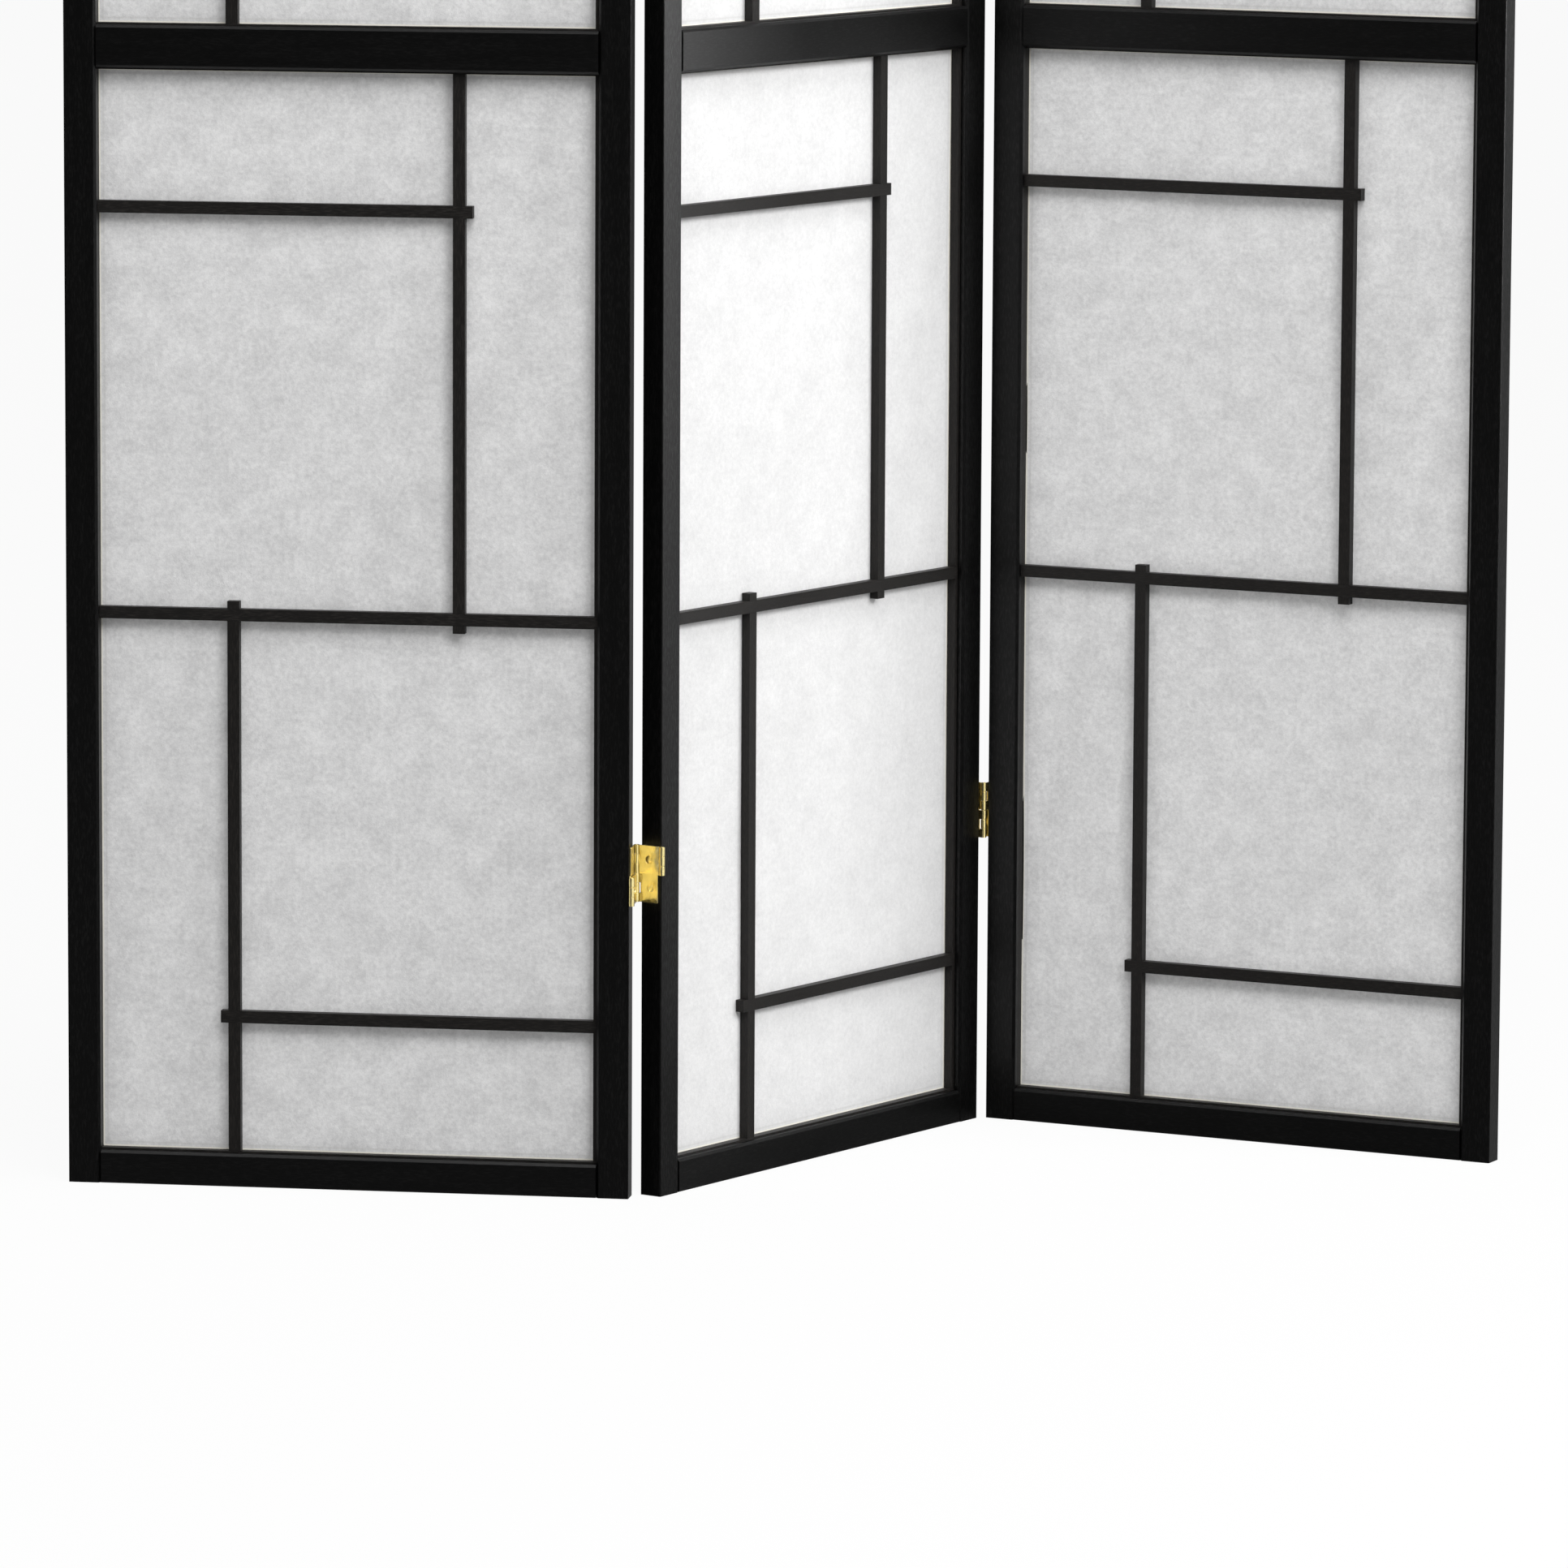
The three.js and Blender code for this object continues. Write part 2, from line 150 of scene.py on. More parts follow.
class Recipe:
    """A node tree that is filled by calls. It starts empty."""

    def __init__(self, tree):
        self.tree = tree
        tree.nodes.clear()

    def node(self, kind, settings=None, inputs=None, output=0):
        """Adds a node of this kind. Settings are set first, with a ramp's stops as pairs of a
        place and a colour. Inputs are socket names or numbers with a value or a wire each."""
        made = self.tree.nodes.new(kind)
        for name, value in (settings or {}).items():
            if name == "stops":
                self.set_stops(made.color_ramp, value)
            else:
                setattr(made, name, value)
        for name, value in (inputs or {}).items():
            if isinstance(value, Wire):
                self.tree.links.new(value.socket, made.inputs[name])
            else:
                made.inputs[name].default_value = value
        return Wire(self, made.outputs[output]) if made.outputs else None

    @staticmethod
    def set_stops(ramp, stops):
        """Gives a colour ramp these stops. It starts with two of its own."""
        while len(ramp.elements) < len(stops):
            ramp.elements.new(1.0)
        for element, (place, colour) in zip(ramp.elements, stops):
            element.position, element.color = place, (*colour, 1.0)

    def object_point(self):
        """The point's place on its piece, in metres."""
        return self.node("ShaderNodeTexCoord", output="Object")

    def along(self, axis, point):
        """One coordinate of a point: axis 0 is x, 1 is y and 2 is z."""
        return self.node("ShaderNodeSeparateXYZ", None, {0: point}, output=axis)

    def noise(self, where, scale, detail=2.0, roughness=0.5, distortion=0.0):
        """Soft random shades from 0 to 1, with features about 1 / scale across."""
        inputs = {"Vector": where, "Scale": scale, "Detail": detail, "Roughness": roughness}
        inputs["Distortion"] = distortion
        return self.node("ShaderNodeTexNoise", None, inputs)

    def spread(self, shade, low, high):
        """The shade stretched so that low becomes 0 and high becomes 1, and cut off there."""
        inputs = {0: shade, 1: low, 2: high, 3: 0.0, 4: 1.0}
        return self.node("ShaderNodeMapRange", {"interpolation_type": "SMOOTHSTEP"}, inputs)

    def blend(self, share, first, second):
        """A colour that goes from first to second as share goes from 0 to 1."""
        inputs = {0: share, 6: first, 7: second}
        return self.node("ShaderNodeMix", {"data_type": "RGBA"}, inputs, output=2)

    def bump(self, height, distance):
        """The surface's direction where a height of 1 stands out by distance, in metres."""
        return self.node("ShaderNodeBump", None, {"Height": height, "Distance": distance})

    def show(self, shader):
        """Sends the shader to the output of the world or of the material."""
        kind = "World" if self.tree == scene.world.node_tree else "Material"
        self.node(f"ShaderNodeOutput{kind}", None, {"Surface": shader})


def new_finish(name):
    """A new material, and the recipe that fills it."""
    material = bpy.data.materials.new(name)
    material.use_nodes = True
    return material, Recipe(material.node_tree)


print("Ready to write finishes")

# %% [markdown]
# The studio is a white room. White that only the camera and reflections see doesn't light the
# screen, so the room can be pure white while the lamps stay at a plain level. The world mixes two
# backgrounds: a dim one that lights the screen from all round, and a white one that is only seen.

# %% Paint the white room
scene.view_settings.view_transform = "Standard"
ROOM_LIGHT = 0.26  # the soft light from all round, as a share of white
ROOM_SEEN = 1.0


def seen_directly(recipe):
    """1 for rays from the camera, for mirror rays and for rays through glass, and 0 for light."""
    names = ("Is Camera Ray", "Is Glossy Ray", "Is Transmission Ray")
    rays = [recipe.node("ShaderNodeLightPath", output=name) for name in names]
    return reduce(Wire.larger, rays)


scene.world = bpy.data.worlds.new("white_room")
scene.world.use_nodes = True
room = Recipe(scene.world.node_tree)
room_shades = [
    room.node("ShaderNodeBackground", None, {"Color": (1, 1, 1, 1), "Strength": strength})
    for strength in (ROOM_LIGHT, ROOM_SEEN)
]
room_mix = {0: seen_directly(room), 1: room_shades[0], 2: room_shades[1]}
room.show(room.node("ShaderNodeMixShader", None, room_mix))
print("The room lights the screen with", ROOM_LIGHT, "of its white")

# %% [markdown]
# The floor is a rectangle, so wide that its edges are never seen. White paint alone would look
# grey beside the white room, so the floor is part white glow, and a part that is pale paint keeps
# the screen's shadow. What belongs to the studio is staged: it isn't part of the screen.

# %% Lay the floor
FLOOR_REACH = 30.0
FLOOR_PAINT = 0.40  # how much light the floor throws back up
FLOOR_GLOW = 1.04
GLOW_SHARE = 0.90  # how much of the floor is glow


def mesh_object(name, places, faces, material):
    """An object of points and faces with one material. It stays at the origin, unturned, because
    its points are already given in the room."""
    mesh = bpy.data.meshes.new(name)
    mesh.from_pydata(places.tolist(), [], faces)
    mesh.materials.append(material)
    made = bpy.data.objects.new(name, mesh)
    scene.collection.objects.link(made)
    return made


floor_material, floor_paint = new_finish("white_floor")
paint = floor_paint.node("ShaderNodeBsdfDiffuse", None, {"Color": (FLOOR_PAINT,) * 3 + (1,)})
glow_inputs = {"Color": (1, 1, 1, 1), "Strength": FLOOR_GLOW}
glow = floor_paint.node("ShaderNodeEmission", None, glow_inputs)
floor_mix = {0: seen_directly(floor_paint) * GLOW_SHARE, 1: paint, 2: glow}
floor_paint.show(floor_paint.node("ShaderNodeMixShader", None, floor_mix))
floor_corners = np.array([(-1, -1, 0), (1, -1, 0), (1, 1, 0), (-1, 1, 0)]) * FLOOR_REACH
floor = mesh_object("floor", floor_corners, [(0, 1, 2, 3)], floor_material)
floor.visible_glossy = False
print("The floor reaches", FLOOR_REACH, "m to each side")

# %% [markdown]
# Black lacquer mirrors whatever stands in front of it, and in a white room it would look grey.
# Black cards could be hung round it. Here a round wall does that work: only reflections see it, it
# is black nearly all round, and each of its bright stretches stands where one panel's faces mirror
# it. It dims upwards, so the sheen fades up the screen. It is seen and never sampled as a lamp,
# because the floor would hide its lower half from such a lamp's shadow rays. The wall is a grid of
# points in two rows, and one helper numbers the faces of any grid. A grid may close on itself in
# either direction, as a tube does.

# %% Raise the round wall
WALL_RADIUS, WALL_LOW, WALL_HIGH = 6.5, -10.0, 6.0
WALL_STEPS = 96
WALL_SHADES = [  # how bright the wall is, by degrees from the front towards the right
    (-180, 1.00),
    (-128, 1.00),
    (-118, 0.00),
    (-56, 0.00),
    (-49, 0.27),
    (-40, 0.27),
    (-36, 0.05),
    (-28, 0.24),
    (-12, 0.24),
    (-2, 0.01),
    (116, 0.02),
    (123, 0.40),
    (142, 0.40),
    (150, 0.03),
    (175, 1.00),
]
DIM_START, DIM_END, DIM_SHARE = -1.0, 0.6, 0.85  # the heights between which it dims, and how far


def grid_faces(rows, columns, round_rows=False, round_columns=False):
    """The faces of a grid of points numbered row by row. A round direction closes on itself."""
    row = np.arange(rows if round_rows else rows - 1)[:, None]
    column = np.arange(columns if round_columns else columns - 1)
    next_row, next_column = (row + 1) % rows, (column + 1) % columns
    corners = (
        row * columns + column,
        row * columns + next_column,
        next_row * columns + next_column,
        next_row * columns + column,
    )
    return np.stack([corner.ravel() for corner in corners], axis=1).tolist()


def round_wall(name, radius, material, first=-180, last=180):
    """A staged wall along an arc between two turns, in degrees from the front towards the right:
    points on a low and a high circle. Only mirror rays see it."""
    turn = np.radians(np.linspace(first, last, WALL_STEPS + 1))
    ring = np.stack([np.sin(turn), -np.cos(turn)], axis=1) * radius
    rows = [np.column_stack([ring, 0 * turn + level]) for level in (WALL_LOW, WALL_HIGH)]
    wall = mesh_object(name, np.vstack(rows), grid_faces(2, len(turn)), material)
    for ray in ("camera", "diffuse", "transmission", "shadow", "volume_scatter"):
        setattr(wall, f"visible_{ray}", False)
    return wall


wall_material, wall_paint = new_finish("mirrored_wall")
wall_point = wall_paint.object_point()
quarter_turned = {"Vector": wall_point, "Rotation": (0, 0, math.pi / 2)}
swung = wall_paint.node("ShaderNodeMapping", None, quarter_turned)
swing = wall_paint.node("ShaderNodeTexGradient", {"gradient_type": "RADIAL"}, {"Vector": swung})
shades = [((turn + 180) / 360, (bright,) * 3) for turn, bright in WALL_SHADES]
wall_shade = wall_paint.node("ShaderNodeValToRGB", {"stops": shades}, {"Fac": swing})
dimmed = DIM_SHARE * wall_paint.spread(wall_paint.along(2, wall_point), DIM_START, DIM_END)
wall_glow = {"Color": wall_paint.blend(dimmed, wall_shade, (0, 0, 0, 1))}
wall_paint.show(wall_paint.node("ShaderNodeEmission", None, wall_glow))
wall_material.cycles.emission_sampling = "NONE"
round_wall("mirrored_wall", WALL_RADIUS, wall_material)
print("The round wall stands", WALL_RADIUS, "m off and has", len(WALL_SHADES), "shades")

# %% [markdown]
# Three big soft lamps light the paper, from the side, the front and above. Small ones would draw
# each strip's shadow sharply on it. A fourth lamp grazes the lacquer from the right, and light
# linking keeps it off the paper.

# %% Hang the lamps
LAMPS_AIM = (0.0, 0.0, 0.8)
LAMPS = {  # where each lamp hangs, its width in metres and its power in watts
    "side_lamp": ((3.4, -1.1, 2.3), 1.6, 113),
    "front_lamp": ((1.9, -2.9, 2.6), 1.2, 62),
    "top_lamp": ((0.3, -4.0, 6.2), 3.2, 290),
    "edge_lamp": ((3.5, 0.4, 1.1), 0.8, 54),
}


def soft_lamp(name, place, size, watts):
    """A square of light at place that faces the screen. Cameras don't see it, and mirrors do."""
    lamp = bpy.data.objects.new(name, bpy.data.lights.new(name, "AREA"))
    scene.collection.objects.link(lamp)
    lamp.data.size, lamp.data.energy = size, watts
    lamp.location = place
    lamp.rotation_euler = (Vector(LAMPS_AIM) - Vector(place)).to_track_quat("-Z", "Y").to_euler()
    lamp.visible_camera = False
    return lamp


lamps = {name: soft_lamp(name, *choices) for name, choices in LAMPS.items()}
not_paper = bpy.data.collections.new("lit_by_edge_lamp")
for name, piece in nodes.items():
    if "paper" not in name:
        not_paper.objects.link(piece)
lamps["edge_lamp"].light_linking.receiver_collection = not_paper
print("Lit with", len(lamps), "lamps")

# %% [markdown]
# Each panel is turned by its own angle, and wood grain has to turn with it. The lower paper of a
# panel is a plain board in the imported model, so its corners give the panel's directions: the
# longest way across in plan, square to that from front to back, and up.


# %% Measure the panels
SIDES = ("left", "middle", "right")


def corners_of(node):
    """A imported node's different corners, as rows of x, y and z."""
    mesh = nodes[node].data
    places = np.empty(len(mesh.vertices) * 3)
    mesh.vertices.foreach_get("co", places)
    return np.unique(places.reshape(-1, 3).round(6), axis=0)


class Panel:
    """A panel's own directions: across from left to right, through from front to back, and up."""

    def __init__(self, side):
        """Across is the board's longest way in plan, its first singular vector. Through is square
        to it, and both are turned about if through points away from the paper's side."""
        board = corners_of(f"{side}_panel_lower_paper")
        lattice = corners_of(f"{side}_panel_lower_lattice")
        plan = board[:, :2] - board[:, :2].mean(axis=0)
        across = np.linalg.svd(plan)[2][0]
        through = np.array([-across[1], across[0]])
        behind = (board.mean(axis=0) - (lattice.max(axis=0) + lattice.min(axis=0)) / 2)[:2]
        if through @ behind < 0:
            across, through = -across, -through
        self.body = f"{side}_panel"
        self.turn = math.atan2(across[1], across[0])
        self.axes = np.array([[*across, 0.0], [*through, 0.0], [0.0, 0.0, 1.0]])
        self.middle = (board @ self.axes.T)[:, 0].mean()

    def box(self, node):
        """The lowest and highest corner of a node along the panel's own directions."""
        local = corners_of(node) @ self.axes.T
        return local.min(axis=0), local.max(axis=0)

    def place(self, local):
        """Points given along the panel's directions, moved to where they stand in the room."""
        return local @ self.axes


panels = {side: Panel(side) for side in SIDES}
for side, panel in panels.items():
    print(side, "panel is turned", round(math.degrees(panel.turn), 2), "degrees")

# %% [markdown]
# The frame is an open-pored wood under thin black lacquer. Up close the pores show as short flecks
# along the grain, where varnish has pooled. They show most where the lacquer catches light, so
# they belong in the bump and in the weight of the clear coat, and hardly in the colour. Object
# coordinates are turned to the panel and then stretched, so that one noise pattern draws flecks
# that lie along a stile or along a rail.

# %% Finish the frame
LACQUER_BLACK = (0.0005, 0.0005, 0.0005, 1)
LACQUER_PORE = (0.0028, 0.002716, 0.002632, 1)
LACQUER_SHINE = 0.12  # the stain under the varnish; 0.5 would be clear varnish all over
VARNISH_ROUGH = 0.34
PLAIN_ROUGH, BAND_ROUGH = 0.40, 0.08
PLAIN_COAT, FLECK_COAT = 0.32, 0.20  # the clear coat's weight, and what a fleck adds to it
FLECK_LONG, FLECK_WIDE = 0.0060, 0.0011  # metres
FLECK_FROM, FLECK_FULL = 0.46, 0.68  # the shades of noise between which a fleck comes up
BAND_LONG, BAND_WIDE = 0.090, 0.006
BAND_FROM, BAND_FULL = 0.30, 0.70
BAND_LIFT = 0.45  # how much weaker the flecks are between the bands
RAIL_FLECKS = 0.60  # flecks that lie along a rail catch less light than upright ones
PORE_DEEP = 0.00010


def panel_coordinates(recipe, panel, cell):
    """Object coordinates along the panel's directions, counted in cells of this size."""
    inputs = {"Vector": recipe.object_point(), "Rotation": (0, 0, panel.turn), "Scale": cell}
    return recipe.node("ShaderNodeMapping", {"vector_type": "TEXTURE"}, inputs)


def grain_cell(upright, long, wide):
    """The size of a fleck across, through and up, for upright or lying grain."""
    return (wide, wide, long) if upright else (long, wide, wide)


def lacquered_wood(name, panel, upright, fleck_share):
    """Catch is how much a point catches light: the flecks, stronger inside broad bands."""
    material, recipe = new_finish(name)
    fine = panel_coordinates(recipe, panel, grain_cell(upright, FLECK_LONG, FLECK_WIDE))
    broad = panel_coordinates(recipe, panel, grain_cell(upright, BAND_LONG, BAND_WIDE))
    fine_noise = recipe.noise(fine, 1.0, detail=2.0, roughness=0.6, distortion=0.35)
    broad_noise = recipe.noise(broad, 1.0, detail=3.0, roughness=0.55)
    flecks = recipe.spread(fine_noise, FLECK_FROM, FLECK_FULL)
    bands = recipe.spread(broad_noise, BAND_FROM, BAND_FULL)
    catch = flecks * (1.0 - BAND_LIFT + BAND_LIFT * bands) * fleck_share
    inputs = {
        "Base Color": recipe.blend(catch, LACQUER_BLACK, LACQUER_PORE),
        "Roughness": PLAIN_ROUGH + BAND_ROUGH * bands,
        "Specular IOR Level": LACQUER_SHINE,
        "Coat Weight": PLAIN_COAT + FLECK_COAT * catch,
        "Coat Roughness": VARNISH_ROUGH,
        "Normal": recipe.bump(1.0 - catch, PORE_DEEP),
    }
    recipe.show(recipe.node("ShaderNodeBsdfPrincipled", None, inputs))
    return material


def give_finish(node, material):
    """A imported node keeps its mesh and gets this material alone."""
    nodes[node].data.materials.clear()
    nodes[node].data.materials.append(material)


for side, panel in panels.items():
    stile_finish = lacquered_wood(f"{side}_stile_lacquer", panel, True, 1.0)
    rail_finish = lacquered_wood(f"{side}_rail_lacquer", panel, False, RAIL_FLECKS)
    for member in ("left_stile", "right_stile"):
        give_finish(f"{side}_panel_{member}", stile_finish)
    for member in ("bottom_rail", "middle_rail", "top_rail"):
        give_finish(f"{side}_panel_{member}", rail_finish)
print("Lacquered", 5 * len(panels), "frame members")

# %% [markdown]
# The lattice strips are the same wood with a flatter, slightly browner coat. Uprights and bars are
# halved into each other, with the bars running through at the front. They could be separate
# pieces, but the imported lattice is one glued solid. So the finish marks which parts are bars by
# their height, turns the grain there, and draws the fine seams where a bar passes an upright.

# %% Finish the lattices
STRIP_BLACK = (0.0088, 0.0080, 0.0074, 1)
STRIP_PORE = (0.0190, 0.0168, 0.0150, 1)
STRIP_SEAM = (0.0020, 0.0019, 0.0018, 1)
STRIP_SHINE = 0.22
STRIP_ROUGH, STREAK_ROUGH = 0.46, 0.14
STREAK_LONG, STREAK_WIDE = 0.0060, 0.0007  # metres
STREAK_FROM, STREAK_FULL = 0.46, 0.70
STREAK_DEEP = 0.6  # as a share of a seam's depth
STRIP_HALF = 0.00475  # half a strip's width
SEAM_HALF = 0.00012
BAR_STEP = 0.31675  # from one bar's middle to the next
UPRIGHT_STEP = 0.08910  # from the lattice's middle to an upright's
RIM_WIDE = 0.0075


def middle_of(panel, node):
    """The middle of a node's box along the panel's own directions."""
    low, high = panel.box(node)
    return (low + high) / 2


def near_any(place, targets, reach):
    """1 where a coordinate is within reach of any of the targets, and 0 elsewhere."""
    return reduce(Wire.larger, [abs(place - target).below(reach) for target in targets])


def strip_grain(recipe, panel, upright):
    """A noise drawn out along an upright or along a bar."""
    cell = grain_cell(upright, STREAK_LONG, STREAK_WIDE)
    return recipe.noise(panel_coordinates(recipe, panel, cell), 1.0, detail=2.0, roughness=0.6)


def lattice_finish(name, panel, node):
    """Lying marks the three bars and the rim's two, and a seam is a hair's width along a bar's
    edges where it passes an upright."""
    material, recipe = new_finish(name)
    low, high = panel.box(node)
    centre = middle_of(panel, node)
    metres = panel_coordinates(recipe, panel, (1, 1, 1))
    across, up = recipe.along(0, metres), recipe.along(2, metres)
    bars = [centre[2] + step * BAR_STEP for step in (-1, 0, 1)]
    rims = [low[2] + RIM_WIDE / 2, high[2] - RIM_WIDE / 2]
    uprights = [centre[0] + step * UPRIGHT_STEP for step in (-1, 1)]
    edges = [level + side * STRIP_HALF for level in bars for side in (-1, 1)]
    lying = near_any(up, bars + rims, STRIP_HALF)
    seam = near_any(up, edges, SEAM_HALF) * near_any(across, uprights, STRIP_HALF)
    along_upright, along_bar = (strip_grain(recipe, panel, upright) for upright in (True, False))
    grain = along_upright * (1.0 - lying) + along_bar * lying
    streaks = recipe.spread(grain, STREAK_FROM, STREAK_FULL)
    wood = recipe.blend(streaks, STRIP_BLACK, STRIP_PORE)
    inputs = {
        "Base Color": recipe.blend(seam, wood, STRIP_SEAM),
        "Roughness": STRIP_ROUGH + STREAK_ROUGH * streaks,
        "Specular IOR Level": STRIP_SHINE,
        "Normal": recipe.bump(1.0 - STREAK_DEEP * streaks - seam, PORE_DEEP),
    }
    recipe.show(recipe.node("ShaderNodeBsdfPrincipled", None, inputs))
    return material


LEVELS = ("lower", "upper")
for side, panel in panels.items():
    for level in LEVELS:
        node = f"{side}_panel_{level}_lattice"
        give_finish(node, lattice_finish(f"{side}_{level}_strips", panel, node))
print("Finished", len(LEVELS) * len(panels), "lattices")

# %% [markdown]
# The pieces made here are grids of points like the round wall, worked out as whole arrays. Real
# paper and tumbled brass have no facets, so a piece's faces are shaded smooth.

# %% Write the helper for new pieces
def new_piece(name, places, faces, material):
    """A mesh object with smooth faces and one material."""
    piece = mesh_object(name, places, faces, material)
    piece.data.shade_smooth()
    return piece


print("Ready to make pieces")

# %% [markdown]
# A sheet of fibrous paper stretches behind each lattice, held in the groove all round and glued
# to the strips. Its frame is never quite square, so in each cell between the strips the paper
# buckles a little, in ridges along the cell's rising diagonal, and side light picks these out. The
# ridges are worked out as heights over a grid, cell by cell.

# %% Shape the paper sheets
SHEET_THICK = 0.0002
GRID_ACROSS, GRID_UP = 96, 200
BUCKLES = {"left": 0.0012, "middle": 0.0010, "right": 0.0032}  # how far the ridges stand back
RIDGES = 1.4  # ridges between a cell's middle and the corner beside its rising diagonal
RIDGE_STARTS = (0.44, 0.58)  # each cell's shift is drawn between these


def buckle(across, up, cell, start):
    """How far the paper of one cell stands back, from 0 to 1. Let u and v go from 0 to 1 across
    and up the cell. The ridges are a cosine of u - v, shifted by start, lifted to lie between 0 and
    1 and squared to narrow them. They fade to nothing at the cell's sides, as the square root of
    u (1 - u) v (1 - v), times 4. A cell wider than it is high buckles less, by the square of its
    height over its width."""
    left, right, bottom, top = cell
    u = np.clip((across - left) / (right - left), 0, 1)
    v = np.clip((up - bottom) / (top - bottom), 0, 1)
    ridges = 0.5 + 0.5 * np.cos(2 * math.pi * (RIDGES * (u - v) + start))
    depth = min(1.0, (top - bottom) / (right - left)) ** 2
    return 4 * depth * np.sqrt(u * (1 - u) * v * (1 - v)) * ridges**2


def cells_of(wide, tall):
    """The cells between the strips, as left, right, bottom and top on the sheet. The left
    upright stands in the lower half and the right one in the upper half."""
    west, east = wide / 2 - UPRIGHT_STEP, wide / 2 + UPRIGHT_STEP
    low, middle, high = (tall / 2 + step * BAR_STEP for step in (-1, 0, 1))
    return [
        (0, east, high, tall),
        (0, east, middle, high),
        (east, wide, middle, tall),
        (0, west, 0, middle),
        (west, wide, low, middle),
        (west, wide, 0, low),
    ]


def paper_sheet(side, level, material):
    """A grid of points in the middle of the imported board's thickness, pushed back by the buckles.
    A UV map keeps each point's place on the sheet in metres, and Solidify thickens the sheet."""
    panel, node = panels[side], f"{side}_panel_{level}_paper"
    low, high = panel.box(node)
    wide, tall = high[0] - low[0], high[2] - low[2]
    across, up = np.meshgrid(np.linspace(0, wide, GRID_ACROSS), np.linspace(0, tall, GRID_UP))
    draw = np.random.default_rng(10 * SIDES.index(side) + LEVELS.index(level))
    cells = cells_of(wide, tall)
    starts = draw.uniform(*RIDGE_STARTS, len(cells))
    buckles = [buckle(across, up, cell, start) for cell, start in zip(cells, starts)]
    back = sum(buckles) * BUCKLES[side]
    flat = (low[1] + high[1]) / 2
    local = np.stack([low[0] + across, flat + back, low[2] + up], axis=2).reshape(-1, 3)
    faces = grid_faces(GRID_UP, GRID_ACROSS)
    piece = new_piece(f"{side}_{level}_sheet", panel.place(local), faces, material)
    corner_uv = np.stack([across, up], axis=2).reshape(-1, 2)
    layer = piece.data.uv_layers.new(name="SheetMetres")
    loops = np.empty(len(piece.data.loops), int)
    piece.data.loops.foreach_get("vertex_index", loops)
    layer.data.foreach_set("uv", corner_uv[loops].astype(np.float32).ravel())
    solidify = piece.modifiers.new("thickness", "SOLIDIFY")
    solidify.thickness, solidify.offset = SHEET_THICK, 0.0
    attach(piece, panel.body)
    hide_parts(node)
    return piece


# %% [markdown]
# The paper is a felt of fibres laid at random. Held up, it is cloudy: patches one to three
# centimetres across, a felt of a few millimetres, specks of one millimetre, and single fibres. Each
# scale is a noise with its own weight. Folding a noise about its middle turns its blobs into thin
# curving lines, which read as fibres. A share of the light passes through, so the shader mixes a
# Translucent part in.

# %% Finish the paper
PAPER_THIN = (0.690, 0.689, 0.690, 1)
PAPER_THICK = (0.870, 0.869, 0.868, 1)
# painted highlight: the pale cream border along the rim
PAPER_EDGE_HIGHLIGHT = (0.960, 0.940, 0.870, 1)
# painted shade: the darker line of the crease beside the rim
PAPER_CREASE_SHADE = (0.620, 0.615, 0.600, 1)
PAPER_ROUGH, PAPER_SHINE = 0.88, 0.25
SHEET_SHIFT = (3.7, 1.3, 0.7)  # each sheet is cut from another place of the pattern
DRAWN_OUT = (1.5, 0.8, 1.0)  # the coarse fibres lie more up the sheet than across it
CLOUDS, FELT, SPECKS = 36.0, 250.0, 900.0  # the noises' scales, one over metres
COARSE_FIBRES, FINE_FIBRES = (260.0, 14.0), (420.0, 12.0)  # a scale, and how thin the lines are
COARSE_SHARE = 0.6  # of the lines
CLOUD_WEIGHT, FELT_WEIGHT, SPECK_WEIGHT, LINE_WEIGHT = 1.7, 2.0, 0.5, 0.12
MIDDLE_SHADE = 0.57
MOTTLE_SHOWS = {"left": 1.0, "middle": 0.55, "right": 1.0}  # the middle sheets' mottle is painted fainter, as bright light washes it out
THROUGH_SHARE = 0.30  # of the light, passed on by the sheet
FELT_DEEP = 0.00010
FINE_RELIEF = 0.5  # specks and lines stand out by this share of it
RIM_COVER = 0.0065  # how much of the sheet's edge the frame and the lattice's rim hide
EDGE_WIDE = 0.0013
EDGE_HIGHLIGHT_CORE = 0.6 * EDGE_WIDE  # a painted highlight runs along the rim as a pale border, and fades from here
CREASE_AT = 2.6 * EDGE_WIDE  # beside it the paper is pressed into a faint crease, whose shade is painted as a darker line
CREASE_HALF, CREASE_CORE = 0.9 * EDGE_WIDE, 0.2 * EDGE_WIDE
CREASE_SHADE_SHOWS = 0.35


def fibre_lines(recipe, where, scale, thin):
    """Thin curving lines: 1 where a noise passes its middle, falling to 0 on both sides."""
    noise = recipe.noise(where, scale, detail=1.0, roughness=0.5, distortion=0.4)
    return (1.0 - abs(noise - 0.5) * thin).clamped()


def from_edge(recipe, sheet, wide, tall):
    """How far a point is from the nearest edge of its sheet."""
    across, up = recipe.along(0, sheet), recipe.along(1, sheet)
    return across.smaller(wide - across).smaller(up.smaller(tall - up))


